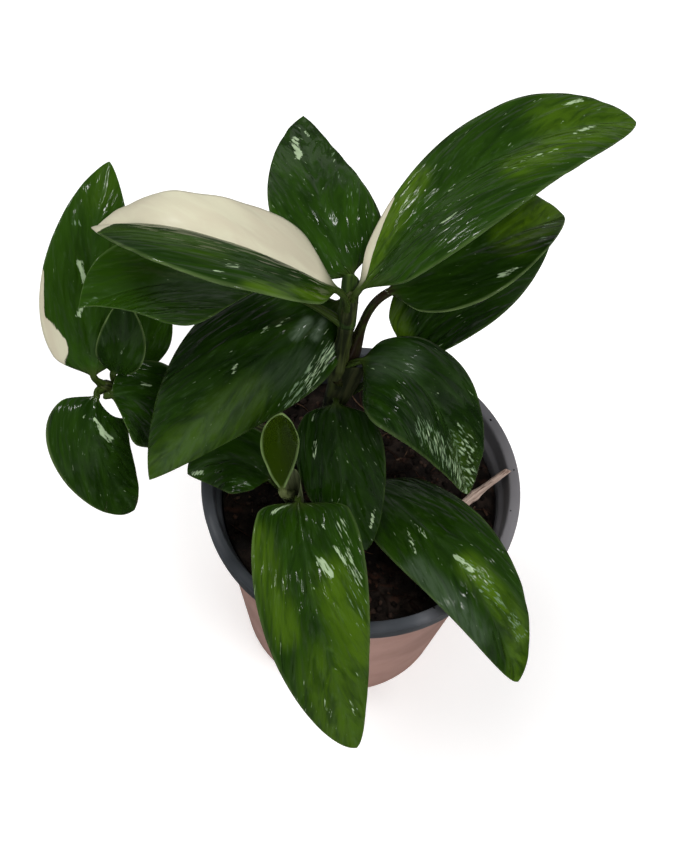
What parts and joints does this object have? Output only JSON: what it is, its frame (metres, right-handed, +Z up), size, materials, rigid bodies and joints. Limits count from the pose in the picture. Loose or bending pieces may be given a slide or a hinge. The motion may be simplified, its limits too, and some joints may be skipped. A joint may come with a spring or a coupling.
{
  "type": "potted philodendron",
  "caption": "Young variegated climbing house plant with glossy lance-shaped leaves on short stems, growing in soil in a round two-tone plastic nursery pot.",
  "frame": {"origin": "middle of the pot's underside", "axes": "+Z up through the pot's middle, -Y towards the front, where the longest low leaf hangs over the rim, and +X to the right"},
  "size_m": [0.1929, 0.1951, 0.2559],
  "materials": {
    "leaf_green": "glossy dark green leaf, streaked with cream",
    "stem_green": "smooth green stem with a brown foot",
    "pot_plastic": "thin moulded plastic, terracotta body and grey collar",
    "soil_dark": "damp fibrous potting soil",
    "twig_wood": "dry bare stick"
  },
  "bodies": {
    "root": {"pot": "pot_plastic", "soil": "soil_dark", "twig": "twig_wood", "stem_main": "stem_green", "stem_left": "stem_green", "stem_front": "stem_green", "leaf_top_right": "leaf_green", "leaf_cream": "leaf_green", "leaf_top_back": "leaf_green", "leaf_centre_left": "leaf_green", "leaf_left_under": "leaf_green", "leaf_right_upper": "leaf_green", "leaf_right_lower": "leaf_green", "leaf_right_inner": "leaf_green", "leaf_centre_front": "leaf_green", "leaf_far_left": "leaf_green", "leaf_left_back_1": "leaf_green", "leaf_left_back_2": "leaf_green", "leaf_left_low": "leaf_green", "leaf_left_inner": "leaf_green", "leaf_soil_left": "leaf_green", "leaf_young": "leaf_green", "leaf_front": "leaf_green", "leaf_right_front": "leaf_green"}
  },
  "joints": []
}
